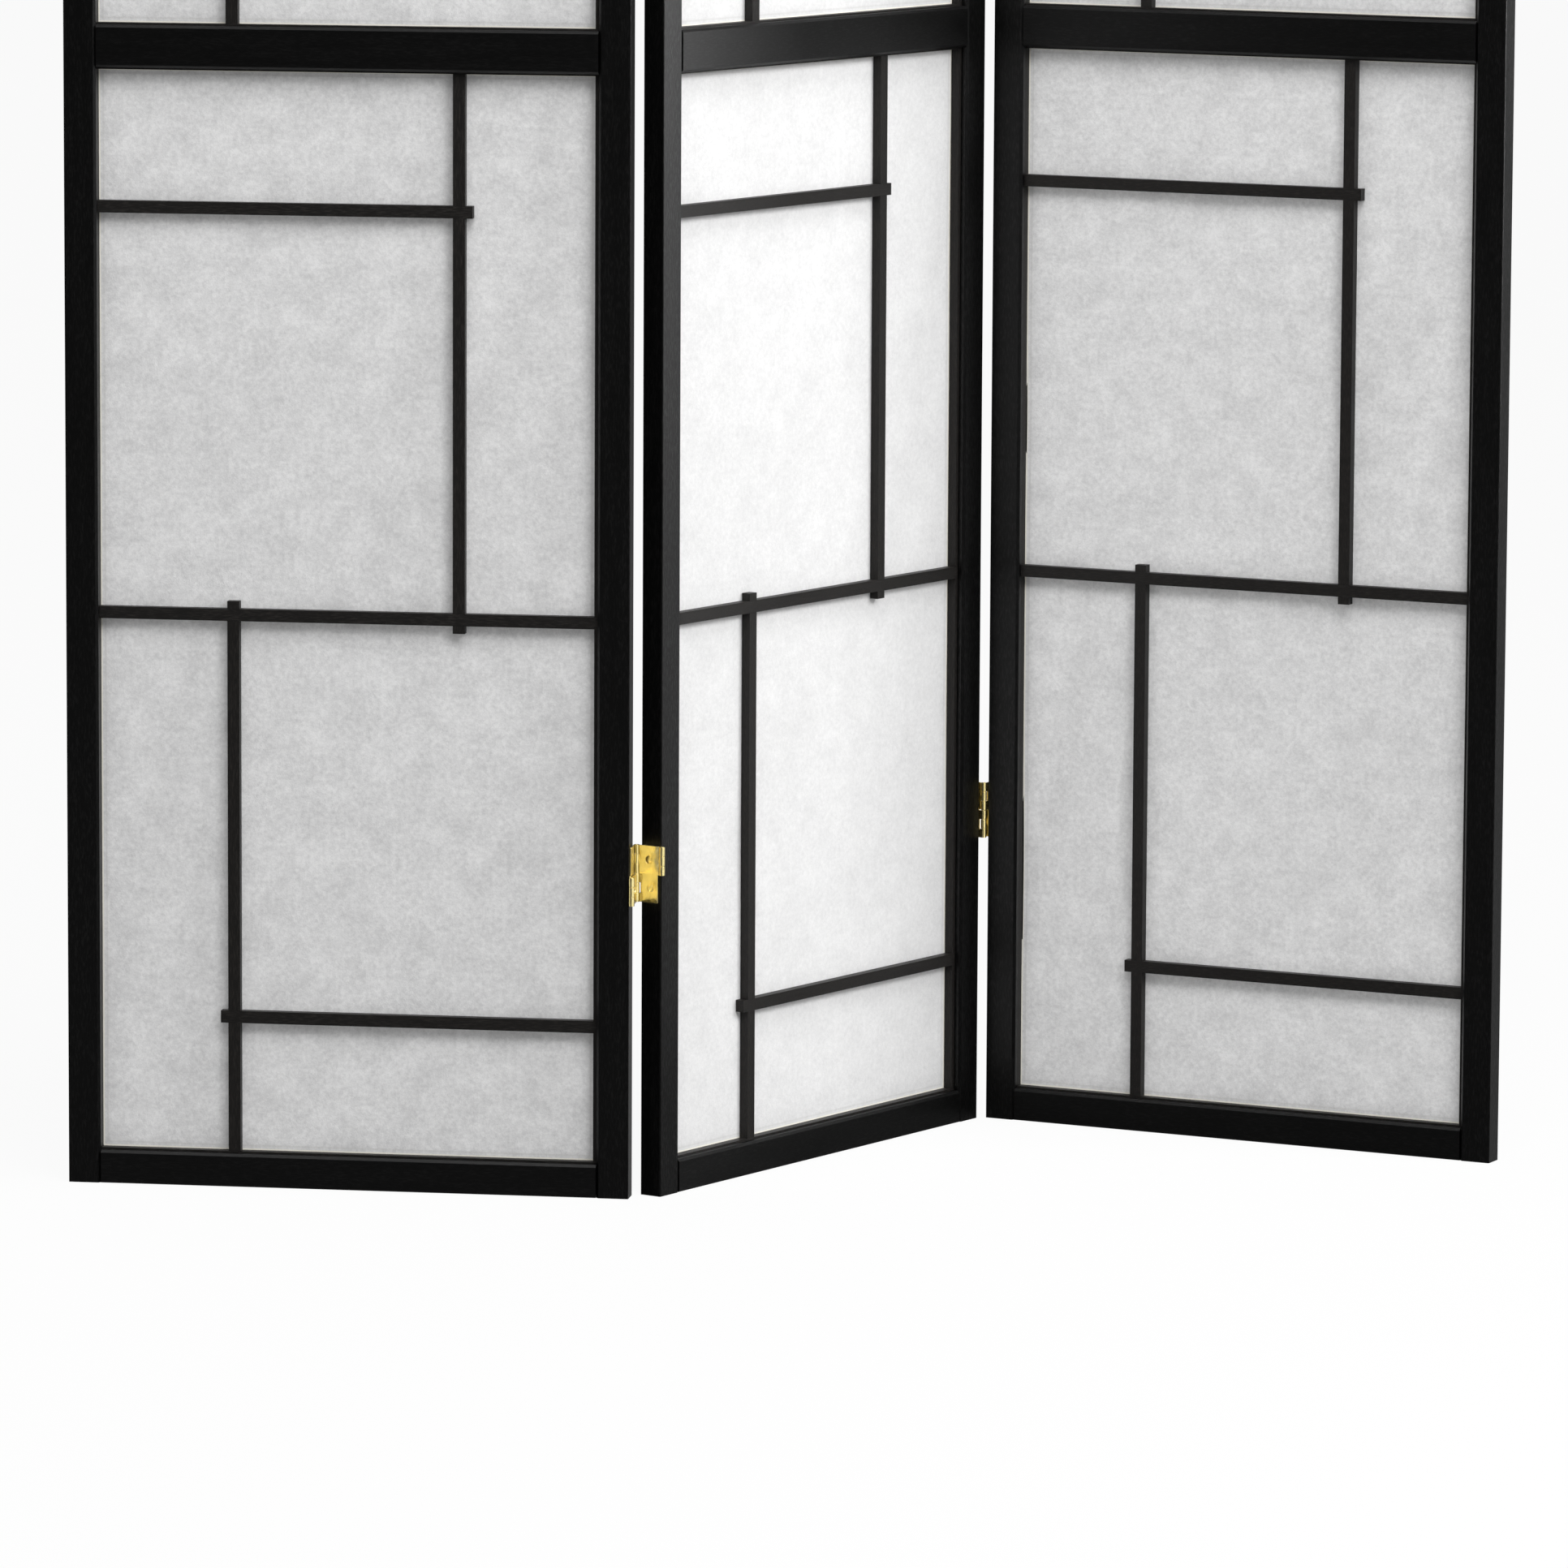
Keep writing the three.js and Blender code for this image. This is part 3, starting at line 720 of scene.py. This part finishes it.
def felted(recipe, sheet, number):
    """The shade about its middle, a weighted sum of clouds, felt, specks and lines, and the
    height for the bump, a sum of the last three."""
    shift = tuple(number * step for step in SHEET_SHIFT)
    here = recipe.node("ShaderNodeMapping", None, {"Vector": sheet, "Location": shift})
    drawn = recipe.node("ShaderNodeMapping", None, {"Vector": here, "Scale": DRAWN_OUT})
    clouds = recipe.noise(here, CLOUDS, detail=3.0, roughness=0.8, distortion=0.2)
    felt = recipe.noise(here, FELT, detail=2.0, roughness=0.8)
    specks = recipe.noise(here, SPECKS, detail=1.0, roughness=0.8)
    coarse = fibre_lines(recipe, drawn, *COARSE_FIBRES)
    fine = fibre_lines(recipe, here, *FINE_FIBRES)
    lines = coarse * COARSE_SHARE + fine * (1.0 - COARSE_SHARE)
    mottle = CLOUD_WEIGHT * (clouds - 0.5) + FELT_WEIGHT * (felt - 0.5)
    mottle = mottle + SPECK_WEIGHT * (specks - 0.5) - LINE_WEIGHT * lines
    return mottle, felt + FINE_RELIEF * specks + FINE_RELIEF * lines


def fibrous_paper(name, number, wide, tall, shows):
    """Thin and thick paper blended by the felt's shade, with a crease's painted shade and a painted
    highlight along the rim.
    """
    material, recipe = new_finish(name)
    sheet = recipe.node("ShaderNodeUVMap", {"uv_map": "SheetMetres"})
    mottle, height = felted(recipe, sheet, number)
    shade = (MIDDLE_SHADE + shows * mottle).clamped()
    inwards = from_edge(recipe, sheet, wide, tall) - RIM_COVER
    # painted shade along the crease
    crease = recipe.spread(abs(inwards - CREASE_AT), CREASE_HALF, CREASE_CORE) * CREASE_SHADE_SHOWS
    # painted highlight along the rim
    border = recipe.spread(inwards, EDGE_WIDE, EDGE_HIGHLIGHT_CORE)
    colour = recipe.blend(shade, PAPER_THIN, PAPER_THICK)
    colour = recipe.blend(crease, colour, PAPER_CREASE_SHADE)
    colour = recipe.blend(border, colour, PAPER_EDGE_HIGHLIGHT)
    normal = recipe.bump(height, FELT_DEEP)
    inputs = {
        "Base Color": colour,
        "Roughness": PAPER_ROUGH,
        "Specular IOR Level": PAPER_SHINE,
        "Normal": normal,
    }
    front = recipe.node("ShaderNodeBsdfPrincipled", None, inputs)
    behind = recipe.node("ShaderNodeBsdfTranslucent", None, {"Color": colour, "Normal": normal})
    recipe.show(recipe.node("ShaderNodeMixShader", None, {0: THROUGH_SHARE, 1: front, 2: behind}))
    return material


for number, (side, level) in enumerate((side, level) for side in SIDES for level in LEVELS):
    low, high = panels[side].box(f"{side}_panel_{level}_paper")
    wide, tall = high[0] - low[0], high[2] - low[2]
    finish = fibrous_paper(f"{side}_{level}_paper", number + 1, wide, tall, MOTTLE_SHOWS[side])
    sheet = paper_sheet(side, level, finish)
    print(sheet.name, "buckles by", BUCKLES[side] * 1000, "mm")

# %% [markdown]
# The hinges are stamped from brass sheet and tumbled bright. Their shine is that of rolled metal
# and not of a mirror: the sheet is very slightly wavy, the polish wanders from bright to warm, and
# there are fine specks where it has been handled. Three noises of falling size do that.

# %% Finish the brass
BRASS_BRIGHT = (0.93, 0.80, 0.40, 1)
BRASS_WARM = (0.84, 0.69, 0.28, 1)
WAVES, WANDER, BRASS_SPECKS = 130.0, 260.0, 2600.0  # the noises' scales, one over metres
BRASS_ROUGH, WANDER_ROUGH, SPECK_ROUGH = 0.18, 0.10, 0.06
SPECK_FROM, SPECK_FULL = 0.55, 0.75
WAVES_DEEP = 0.0006
SPECK_DEEP = 0.006  # as a share of a wave


def rolled_brass(name):
    """Waves and specks make the bump, wander the colour, and wander and specks the polish."""
    material, recipe = new_finish(name)
    here = recipe.object_point()
    waves = recipe.noise(here, WAVES, detail=1.0, roughness=0.4)
    wander = recipe.noise(here, WANDER, detail=3.0, roughness=0.6)
    speck_noise = recipe.noise(here, BRASS_SPECKS, detail=2.0, roughness=0.5)
    specks = recipe.spread(speck_noise, SPECK_FROM, SPECK_FULL)
    inputs = {
        "Base Color": recipe.blend(wander, BRASS_BRIGHT, BRASS_WARM),
        "Metallic": 1.0,
        "Roughness": BRASS_ROUGH + WANDER_ROUGH * wander + SPECK_ROUGH * specks,
        "Normal": recipe.bump(waves + SPECK_DEEP * specks, WAVES_DEEP),
    }
    recipe.show(recipe.node("ShaderNodeBsdfPrincipled", None, inputs))
    return material


brass = rolled_brass("rolled_brass")
hinge_nodes = [name for name in nodes if "_hinge_" in name]
for name in hinge_nodes:
    give_finish(name, brass)
print("Brassed", len(hinge_nodes), "hinge pieces")

# %% [markdown]
# Brass in a black room looks black. Two bright, patchy walls of its own stand just inside the round
# wall, and light linking lets the brass alone gather their light. They stand only where the round
# wall is black, because the lacquer still sees their shape, and sees it as black.

# %% Hang bright cards for the brass
CARD_DIM, CARD_BRIGHT = (0.30, 0.30, 0.30, 1), (1.40, 1.40, 1.40, 1)
CARD_ARCS = {"left_brass_card": (-116, -56), "right_brass_card": (4, 114)}  # degrees
CARD_RADIUS = WALL_RADIUS - 0.2
PATCHES = 0.45  # the patches' scale, one over metres
PATCH_FROM, PATCH_FULL = 0.38, 0.62

brass_parts = bpy.data.collections.new("brass_parts")
card_material, card_paint = new_finish("brass_card")
patch_noise = card_paint.noise(card_paint.object_point(), PATCHES, detail=1.0, roughness=0.4)
patches = card_paint.spread(patch_noise, PATCH_FROM, PATCH_FULL)
card_glow = {"Color": card_paint.blend(patches, CARD_DIM, CARD_BRIGHT)}
card_paint.show(card_paint.node("ShaderNodeEmission", None, card_glow))
for name, (first, last) in CARD_ARCS.items():
    card = round_wall(name, CARD_RADIUS, card_material, first, last)
    card.light_linking.receiver_collection = brass_parts
    print(name, "spans", last - first, "degrees")

# %% [markdown]
# Up close, sheet brass never has a sharp edge, and its knuckles are rolled, not drilled from bar.
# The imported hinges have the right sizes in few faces, so finer ones stand in for them. Three
# surfaces make every part: a section carried along a path, for a rolled knuckle; rings round a
# hole, for a plate; and an outline spun about an axis, for a pin. Each is a grid of points.

# %% Write the surfaces for sheet metal
BRASS_THICK = 0.0011
EDGE_SOFT = 0.00014  # the radius of a tumbled edge
CORNER_POINTS = 5
PLATE_STEP = 0.0011  # between the points along a plate's sides


def round_cornered(wide, high, corner, spacing, inset=0.0):
    """A rectangle with round corners, walked once round: a quarter circle about each corner's
    centre, then even steps along the next side. Inset moves every point inwards."""
    swing = np.linspace(0, math.pi / 2, CORNER_POINTS) + np.arange(4)[:, None] * math.pi / 2
    across, along = wide / 2 - corner, high / 2 - corner
    centres = np.array([(across, along), (-across, along), (-across, -along), (across, -along)])
    arcs = centres[:, None] + np.stack([np.cos(swing), np.sin(swing)], axis=2) * (corner - inset)
    walk = []
    for arc, side in zip(arcs, np.roll(arcs[:, 0], -1, axis=0) - arcs[:, -1]):
        steps = max(2, round(np.linalg.norm(side) / spacing))
        walk += [arc, arc[-1] + np.arange(1, steps)[:, None] / steps * side]
    return np.vstack(walk)


def end_faces(rows, columns):
    """The two flat ends of a tube: its first ring of points and its last."""
    return [list(range(columns)), list(range((rows - 1) * columns, rows * columns))]


def carried_along(section, path, outward, closed=False):
    """The section's first measure goes along outward and its second along z, at every point of
    the path. Flat ends close it, unless the path itself is closed."""
    flat = path[:, None, :] + outward[:, None, :] * section[None, :, :1]
    up = np.broadcast_to(section[None, :, 1:], (*flat.shape[:2], 1))
    places = np.concatenate([flat, up], axis=2).reshape(-1, 3)
    rows, columns = len(path), len(section)
    if closed:
        return places, grid_faces(rows, columns, True, True)
    return places, grid_faces(rows, columns, round_columns=True) + end_faces(rows, columns)


def plate_round_hole(wide, high, corner, hole_at, near_radius, far_radius, soft=EDGE_SOFT):
    """Rings from the plate's outline to its hole and back. The near face is at x = 0 and the far
    face at the sheet's thickness. Each point of the outline shares a spoke with one of the hole,
    so the hole's circle has a point in the same direction from its centre."""
    outline = round_cornered(wide, high, corner, PLATE_STEP)
    inner = round_cornered(wide, high, corner, PLATE_STEP, soft)
    spokes = outline - np.array(hole_at)
    spokes /= np.linalg.norm(spokes, axis=1)[:, None]
    rings = [
        (0.0, inner),
        (soft, outline),
        (BRASS_THICK - soft, outline),
        (BRASS_THICK, inner),
        (BRASS_THICK, hole_at + spokes * (far_radius + soft)),
        (BRASS_THICK - soft / 2, hole_at + spokes * far_radius),
        (soft / 2, hole_at + spokes * near_radius),
        (0.0, hole_at + spokes * (near_radius + soft)),
    ]
    places = [np.column_stack([np.full(len(ring), depth), ring]) for depth, ring in rings]
    return np.vstack(places), grid_faces(len(rings), len(outline), True, True)


def spun(outline, columns=32):
    """An outline of radii and heights, from one pole to the other, spun about z."""
    swing = np.linspace(0, 2 * math.pi, columns, endpoint=False)
    radius, height = outline[:, :1], outline[:, 1:]
    rings = [radius * np.cos(swing), radius * np.sin(swing), height + 0 * swing]
    faces = grid_faces(len(outline), columns, round_columns=True)
    return np.stack(rings, axis=2).reshape(-1, 3), faces + end_faces(len(outline), columns)


def together(shells):
    """Several shells as one list of points and one of faces."""
    starts = np.cumsum([0] + [len(places) for places, _ in shells])
    faces = [[start + i for i in face] for start, (_, rows) in zip(starts, shells) for face in rows]
    return np.vstack([places for places, _ in shells]), faces


AS_IT_IS, ABOUT_Z, ABOUT_X = (1, 1, 1), (-1, -1, 1), (1, -1, -1)


def moved(shell, shift, turn=AS_IT_IS):
    """A shell moved by shift, after half a turn about one axis."""
    return shell[0] * np.array(turn) + np.array(shift), shell[1]


def face_outwards(mesh):
    """Turns every shell's faces outwards, whichever way its grid was numbered."""
    work = bmesh.new()
    work.from_mesh(mesh)
    bmesh.ops.recalc_face_normals(work, faces=work.faces)
    work.to_mesh(mesh)
    work.free()


print("Ready to shape sheet metal")

# %% [markdown]
# A two-way hinge has a leaf on each panel and two links between them. A leaf's upper half reaches
# forward and its lower half reaches back, each with two rolled knuckles on a pin. A link lies in
# the gap, with one closed knuckle at the front and one at the back, and a hole through which a
# screwdriver reaches the leaf's screw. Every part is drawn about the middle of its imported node,
# with x across the gap, and is then turned to the panel that it moves with.

# %% Shape the hinges
KNUCKLE_RADIUS = 0.0023
BORE_RADIUS = KNUCKLE_RADIUS - BRASS_THICK
AXIS_DEEP = 0.0121  # from the panels' middle plane to a pin
PLATE_REACH = 0.0094  # from the panels' middle plane to a plate's knuckled edge
PLAIN_REACH = 0.0071  # and to a leaf's plain edge
HALF_START, HALF_HIGH = 0.0002, 0.0223  # a working half, from the hinge's middle
HALF_MIDDLE = HALF_START + HALF_HIGH / 2
KNUCKLE_HIGH, KNUCKLE_PITCH = 0.0071667, 0.0075667
CURL_TURN = math.radians(290)
SINK_RADIUS, HOLE_RADIUS, ACCESS_RADIUS = 0.0030, 0.0019, 0.0034
PLATE_CORNER = 0.0005
SECTION_STEP = 0.0030  # between the points along a knuckle's long sides
CURL_POINTS, TUBE_POINTS, RUN_POINTS = 40, 48, 4
INTO_PLATE = 0.0006  # how far inside its plate a knuckle's or a tongue's sheet starts
SHORT_OF_BORE = 0.0002  # how far a tongue stops short of its knuckle's bore
PIN_RADIUS, PIN_DOME, DOME_POINTS = 0.0009, 0.0003, 6
PIN_TIP = PIN_RADIUS / 6  # the radius of the flat that is left on the dome
HAIR = 0.00002


def knuckle_section():
    """The sheet cut across. It is a hair thinner than a plate, so that no two faces coincide."""
    return round_cornered(BRASS_THICK - HAIR, KNUCKLE_HIGH, EDGE_SOFT, SECTION_STEP)


def rolled_knuckle(place):
    """Sheet that leaves the plate, runs to the pin and is rolled round it clockwise."""
    section = knuckle_section()
    middle_radius = KNUCKLE_RADIUS - BRASS_THICK / 2
    run = np.linspace(-PLATE_REACH + INTO_PLATE, -AXIS_DEEP, RUN_POINTS)[:-1]
    swing = -np.linspace(0, CURL_TURN, CURL_POINTS)
    straight = np.column_stack([np.full(len(run), middle_radius), run])
    round_pin = np.column_stack([np.cos(swing), np.sin(swing)])
    path = np.vstack([straight, round_pin * middle_radius + (0, -AXIS_DEEP)])
    outward = np.vstack([np.tile([1.0, 0.0], (len(run), 1)), round_pin])
    shell = carried_along(section, path, outward)
    level = HALF_START + place * KNUCKLE_PITCH + KNUCKLE_HIGH / 2
    return moved(shell, (0, 0, level))


def leaf_half():
    """A plate with a countersunk hole, and the knuckles at its lower and upper end."""
    wide, high = PLATE_REACH + PLAIN_REACH, HALF_START + HALF_HIGH + 2 * EDGE_SOFT
    middle = ((PLAIN_REACH - PLATE_REACH) / 2, high / 2 - 2 * EDGE_SOFT)
    hole_at = (-middle[0], HALF_MIDDLE - middle[1])
    plate = plate_round_hole(wide, high, PLATE_CORNER, hole_at, SINK_RADIUS, HOLE_RADIUS)
    plate = moved(plate, (BORE_RADIUS, *middle))
    return together([plate, rolled_knuckle(0), rolled_knuckle(2)])


def leaf():
    """Two halves, the lower one turned over, a hair apart where their plates overlap."""
    half = leaf_half()
    return together([half, moved(half, (HAIR, 0, 0), ABOUT_X)])


def closed_knuckle(side):
    """A tube: a rounded section carried round the pin in a full circle."""
    section = knuckle_section()
    swing = np.linspace(0, 2 * math.pi, TUBE_POINTS, endpoint=False)
    outward = np.column_stack([np.cos(swing), np.sin(swing)])
    path = outward * (KNUCKLE_RADIUS - BRASS_THICK / 2) + (0, side * AXIS_DEEP)
    return carried_along(section, path, outward, closed=True)


def link():
    """A plate with its access hole, and at its front and back a tongue that ends in a knuckle."""
    sizes = (2 * PLATE_REACH, HALF_HIGH, PLATE_CORNER)
    plate = plate_round_hole(*sizes, (0.0, 0.0), ACCESS_RADIUS, ACCESS_RADIUS)
    section = knuckle_section()
    shells = [moved(plate, (-BRASS_THICK / 2, 0, 0))]
    for side in (-1, 1):
        ends = side * np.array([PLATE_REACH - INTO_PLATE, AXIS_DEEP - BORE_RADIUS - SHORT_OF_BORE])
        path = np.column_stack([np.zeros(2), ends])
        shells.append(carried_along(section, path, np.tile([1.0, 0.0], (2, 1))))
        shells.append(closed_knuckle(side))
    return together(shells)


def pin():
    """A rod with domed ends: a small flat, then a quarter circle out to the rod's radius."""
    swing = np.linspace(math.radians(84), 0, DOME_POINTS)
    round_edge = np.column_stack([np.cos(swing), np.sin(swing)]) * PIN_DOME
    dome = round_edge + (PIN_RADIUS - PIN_DOME, 0)
    dome[0, 0] = PIN_TIP
    high = HALF_HIGH / 2 - PIN_DOME
    lower = np.column_stack([dome[:, 0], -high - dome[:, 1]])
    upper = np.column_stack([dome[::-1, 0], high + dome[::-1, 1]])
    return spun(np.vstack([lower, upper]))


def metal_piece(name, shell, panel, middle, node=None):
    """A brass piece drawn about the origin, moved to middle along the panel's directions."""
    piece = new_piece(name, panel.place(shell[0] + middle), shell[1], brass)
    face_outwards(piece.data)
    piece.modifiers.new("flat faces stay flat", "WEIGHTED_NORMAL")
    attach(piece, panel.body)
    brass_parts.objects.link(piece)
    if node:
        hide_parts(node)
    return piece


def panel_of(node):
    """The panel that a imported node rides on. Its side is the first word of the body's name."""
    return panels[nodes[node]["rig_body"].split("_")[0]]


shapes = {"leaf": leaf(), "link": link(), "pin": pin()}
for name in sorted(hinge_nodes):
    kind = "leaf" if "_leaf_" in name else name.rsplit("_", 1)[1]
    panel = panel_of(name)
    middle = middle_of(panel, name)
    at_right_edge = kind == "leaf" and middle[0] > panel.middle
    shell = moved(shapes[kind], (0, 0, 0), ABOUT_Z if at_right_edge else AS_IT_IS)
    metal_piece(f"{name}_brass", shell, panel, middle, name)
print("Shaped", len(hinge_nodes), "hinge pieces")

# %% [markdown]
# Each half of a leaf is held by one oval-headed screw with a cross recess. The whole screw is one
# outline spun about its axis: the dome, the cone that fills the countersink, and a shank with a
# thread, which is a ridge that climbs as it goes round. The recess is pressed into the dome by
# lowering the points that lie in either arm of the cross.

# %% Drive the screws
HEAD_RADIUS, DOME_HIGH, DOME_FOOT = 0.00285, 0.00045, -0.00006
CROSS_ARM, CROSS_HALF, CROSS_DEEP, CROSS_SOFT = 0.00165, 0.00040, 0.00085, 0.00012
NECK_RADIUS, CORE_RADIUS, RIDGE, THREAD_PITCH = 0.00175, 0.00105, 0.00040, 0.0013
SCREW_LONG, POINT_LONG = 0.0135, 0.0022
RIM_LEVEL, SHANK_LEVEL = -0.00014, -0.0013  # the foot of the head's rim, and the top of the shank
DOME_RINGS, SHANK_RINGS, SCREW_COLUMNS = 18, 62, 72
DOME_TIP, POINT_TIP = 0.05, 0.04  # the flats left at both ends, as shares of the full radius
CROSS_RISE = 0.45  # how much shallower the cross is at its arms' ends
RIDGE_STEEP = 3  # a thread's ridge fills two thirds of its pitch


def arm(length, width):
    """1 inside one bar of the cross, falling to 0 over its soft edges."""
    inside = np.clip((CROSS_ARM - np.abs(length)) / CROSS_SOFT, 0, 1)
    return inside * np.clip((CROSS_HALF - np.abs(width)) / CROSS_SOFT + 0.5, 0, 1)


def screw_rings():
    """The radius, the level and the share of thread of each ring, from the middle of the head to
    the point: a dome, the cone under it, and the shank."""
    dome = np.linspace(DOME_TIP, 1, DOME_RINGS)
    dome_level = DOME_FOOT + DOME_HIGH * (1 - dome**2)
    shank_level = np.linspace(SHANK_LEVEL, -SCREW_LONG, SHANK_RINGS)
    taper = np.clip((SCREW_LONG + shank_level) / POINT_LONG, POINT_TIP, 1)
    head = np.stack([dome * HEAD_RADIUS, dome_level, 0 * dome])
    neck = np.array([[HEAD_RADIUS, RIM_LEVEL, 0], [NECK_RADIUS, -BRASS_THICK, 0]]).T
    shank = np.stack([CORE_RADIUS * taper, shank_level, taper])
    return np.hstack([head, neck, shank])


def screw():
    """The rings spun round. Inside the cross the level drops, less towards its ends. On the shank
    the radius grows by a ridge wherever the level, counted in pitches, less the turn, counted in
    whole turns, leaves a half."""
    turn = np.linspace(0, 1, SCREW_COLUMNS, endpoint=False)
    swing = 2 * math.pi * turn
    radius, level, threaded = screw_rings()[:, :, None] + 0 * turn
    across, along = radius * np.cos(swing), radius * np.sin(swing)
    cross = np.maximum(arm(across, along), arm(along, across))
    cross[DOME_RINGS - 1 :] = 0
    level = level - CROSS_DEEP * cross * (1 - CROSS_RISE * radius / CROSS_ARM)
    climb = (level / THREAD_PITCH - turn) % 1.0
    radius = radius + RIDGE * threaded * np.clip(1 - RIDGE_STEEP * np.abs(climb - 0.5), 0, 1)
    places = np.stack([radius * np.cos(swing), radius * np.sin(swing), level], axis=2)
    faces = grid_faces(len(radius), SCREW_COLUMNS, round_columns=True)
    return places.reshape(-1, 3), faces + end_faces(len(radius), SCREW_COLUMNS)


def driven(shell, outward, angle, height):
    """The screw turned by its own angle, then laid down with its head outwards, its underside's
    rim on the plate and its axis at this height."""
    side = shell[0][:, 0] * math.cos(angle) - shell[0][:, 1] * math.sin(angle)
    rise = shell[0][:, 0] * math.sin(angle) + shell[0][:, 1] * math.cos(angle)
    out = outward * (shell[0][:, 2] - BORE_RADIUS)
    return np.column_stack([out, outward * side, height + rise]), shell[1]


screw_shape = screw()
draw = np.random.default_rng(7)
leaf_nodes = sorted(name for name in hinge_nodes if "_leaf_" in name)
for name in leaf_nodes:
    panel = panel_of(name)
    middle = middle_of(panel, name)
    outward = 1.0 if middle[0] > panel.middle else -1.0  # from the wood towards the gap
    for end, height in (("lower", -HALF_MIDDLE), ("upper", HALF_MIDDLE)):
        shell = driven(screw_shape, outward, draw.uniform(0, math.pi / 2), height)
        metal_piece(f"{name}_{end}_screw", shell, panel, middle)
print("Drove", 2 * len(leaf_nodes), "screws")
